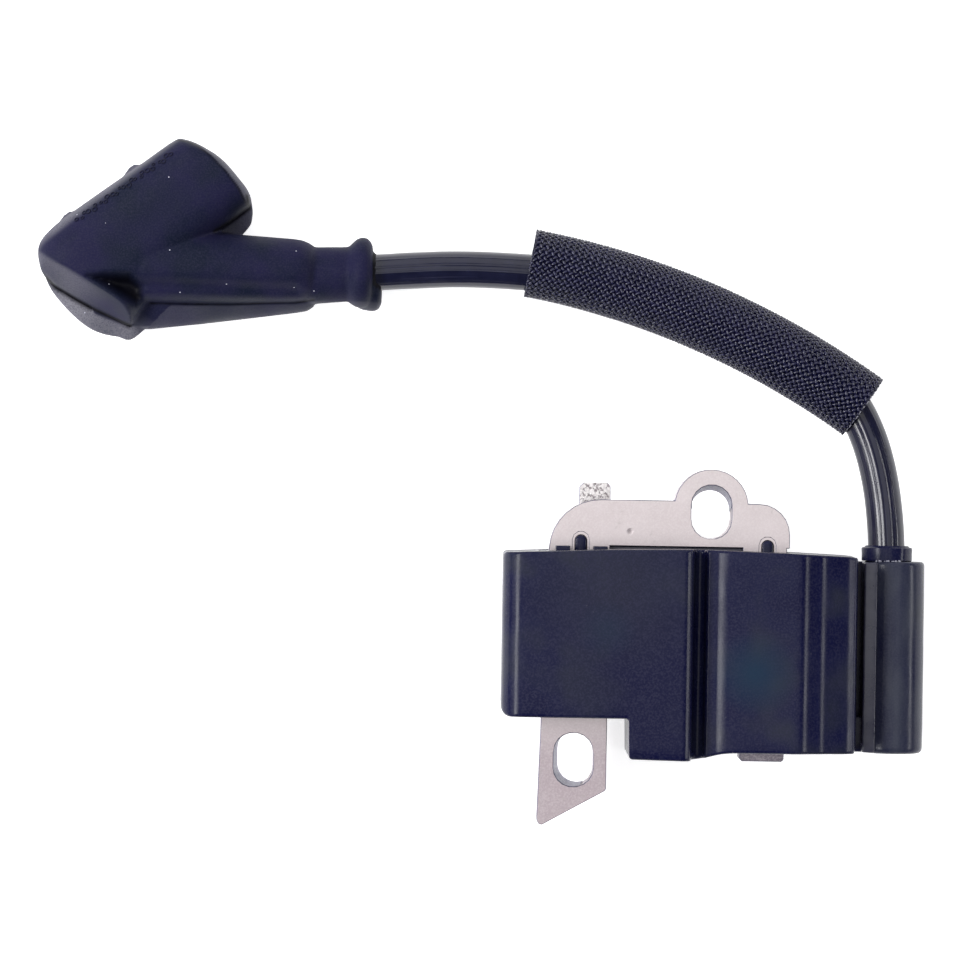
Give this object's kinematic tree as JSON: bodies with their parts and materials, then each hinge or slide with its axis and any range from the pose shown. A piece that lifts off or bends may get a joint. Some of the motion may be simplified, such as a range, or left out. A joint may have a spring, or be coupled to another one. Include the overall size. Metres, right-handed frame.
{
  "type": "ignition coil",
  "caption": "Potted flywheel ignition coil on a laminated core with two slotted lugs, a high-tension lead, a loose braided sleeve and an elbow spark-plug boot.",
  "frame": {"origin": "middle of the case and core taken together, in the plane the case's back lies on", "axes": "+Z out of the case's flat front, +X from the wide left block to the lead tower, +Y from the core legs to the yoke and the lead's exit"},
  "size_m": [0.1204, 0.0913, 0.022],
  "materials": {
    "core_steel": "satin rolled steel sheet",
    "case_plastic": "semi-gloss black moulding",
    "potting_resin": "poured black resin",
    "bobbin_plastic": "natural nylon",
    "enamelled_copper": "enamelled copper wire",
    "board_laminate": "green solder mask",
    "component_body": "moulded epoxy",
    "film_capacitor": "dipped film capacitor",
    "resistor_body": "lacquered ceramic",
    "tinned_steel": "dull tin plate",
    "spring_brass": "bright brass",
    "lead_jacket": "semi-gloss extruded jacket",
    "braid_yarn": "braided polyester",
    "boot_rubber": "matte moulded rubber"
  },
  "bodies": {
    "coil": {"boot_contact_spring": "tinned_steel", "charge_coil_bobbin": "bobbin_plastic", "charge_coil_winding": "enamelled_copper", "circuit_board": "board_laminate", "clamp_diode": "component_body", "coil_housing": "case_plastic", "core_lamination_01": "core_steel", "core_lamination_02": "core_steel", "core_lamination_03": "core_steel", "core_lamination_04": "core_steel", "core_lamination_05": "core_steel", "core_lamination_06": "core_steel", "core_lamination_07": "core_steel", "core_lamination_08": "core_steel", "discharge_resistor": "resistor_body", "gate_resistor": "resistor_body", "ground_contact": "spring_brass", "high_tension_lead": "lead_jacket", "lead_collar": "case_plastic", "output_pin": "spring_brass", "potting_compound": "potting_resin", "primary_bobbin": "bobbin_plastic", "primary_link_wire": "enamelled_copper", "primary_winding": "enamelled_copper", "rectifier_diode": "component_body", "secondary_bobbin": "bobbin_plastic", "secondary_link_wire": "enamelled_copper", "secondary_winding": "enamelled_copper", "spark_plug_boot": "boot_rubber", "stop_terminal": "tinned_steel", "storage_capacitor": "film_capacitor", "thyristor": "component_body", "timing_chip": "component_body", "trigger_winding": "enamelled_copper"},
    "sleeve": {"braided_sleeve": "braid_yarn"}
  },
  "joints": [
    {"name": "sleeve_slide", "type": "hinge", "parent": "coil", "child": "sleeve", "pos_m": [-0.02913, -0.02774, 0.0063], "axis": [0, 0, 1], "range_deg": [0, 14]}
  ]
}
